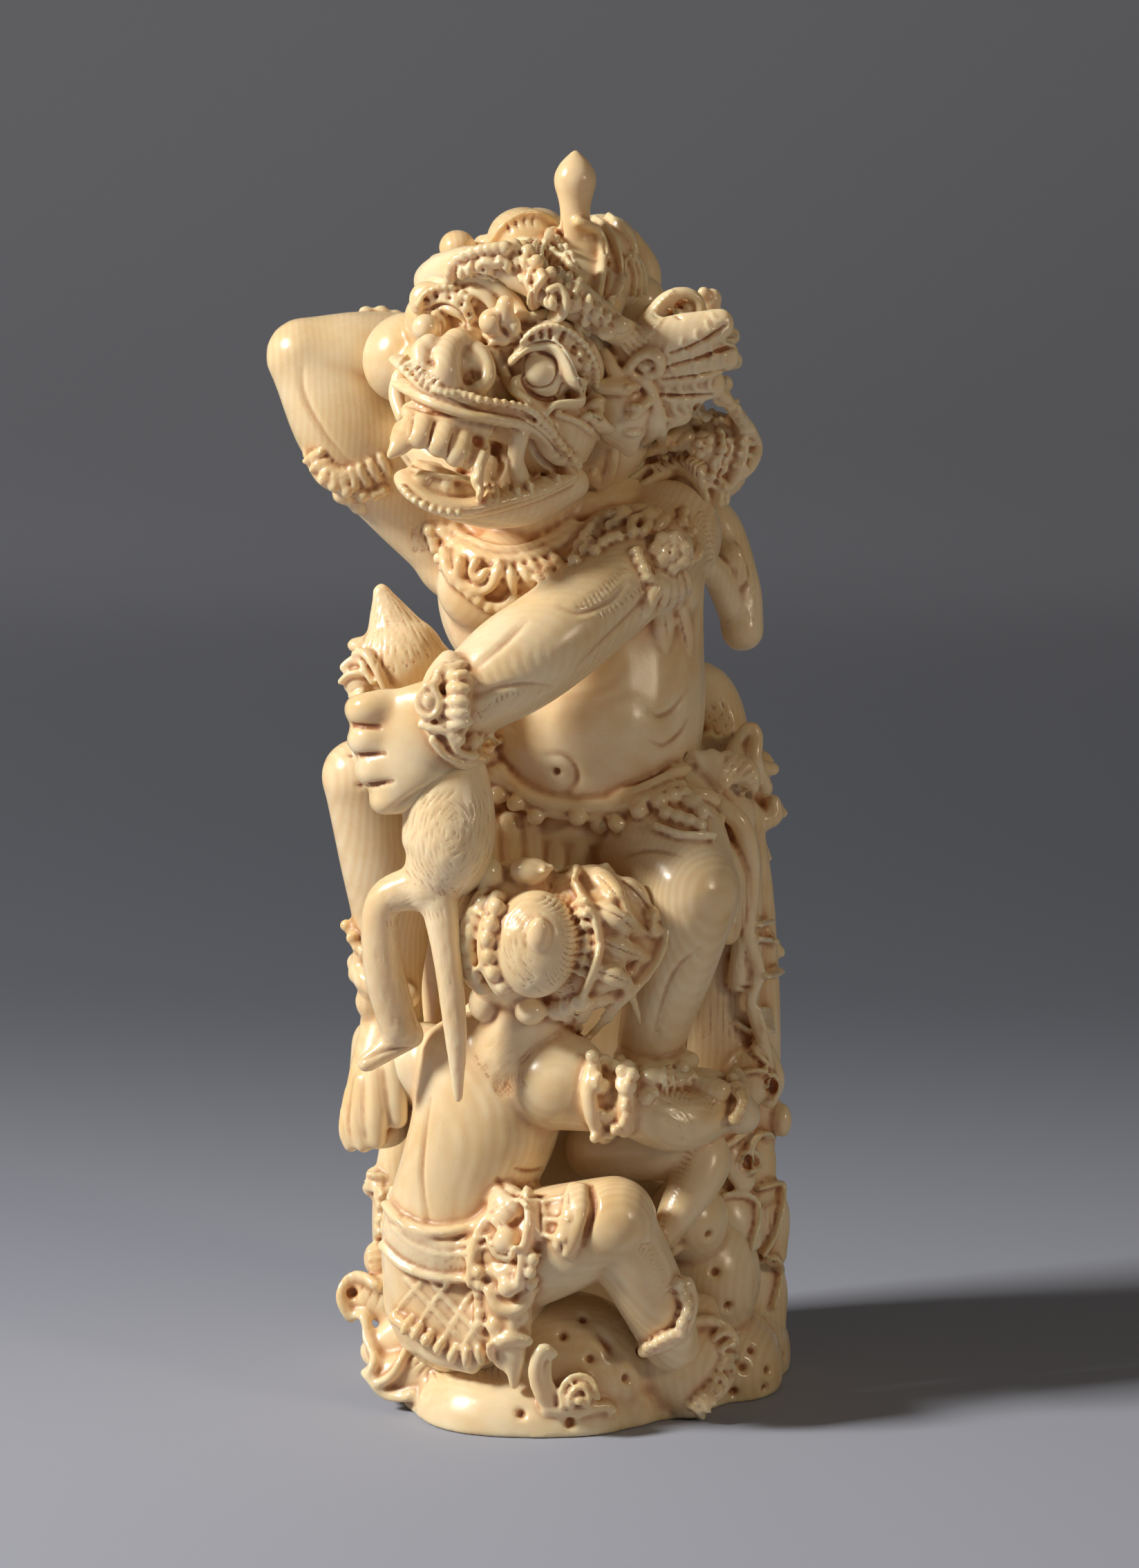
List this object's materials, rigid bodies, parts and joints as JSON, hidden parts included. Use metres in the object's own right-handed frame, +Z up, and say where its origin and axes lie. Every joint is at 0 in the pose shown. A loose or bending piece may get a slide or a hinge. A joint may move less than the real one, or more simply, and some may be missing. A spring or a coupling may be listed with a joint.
{
  "type": "carved ivory figure group of a fanged giant, a monkey prince and monkeys",
  "caption": "Upright carving in the round: a fanged giant in a plumed crown grips a monkey by the neck while a crowned monkey prince kneels with its back turned, all on pitted rocks.",
  "frame": {"origin": "on the flat underside, 2 mm left of the middle of the round tusk it was cut from", "axes": "+Z up through the finial, the carved front faces -Y, +X to the viewer's right"},
  "size_m": [0.0759, 0.0676, 0.18],
  "materials": {
    "ivory": "hand-carved ivory, polished, warm cream with darker recesses"
  },
  "bodies": {
    "root": {"carving": "ivory"}
  },
  "joints": []
}
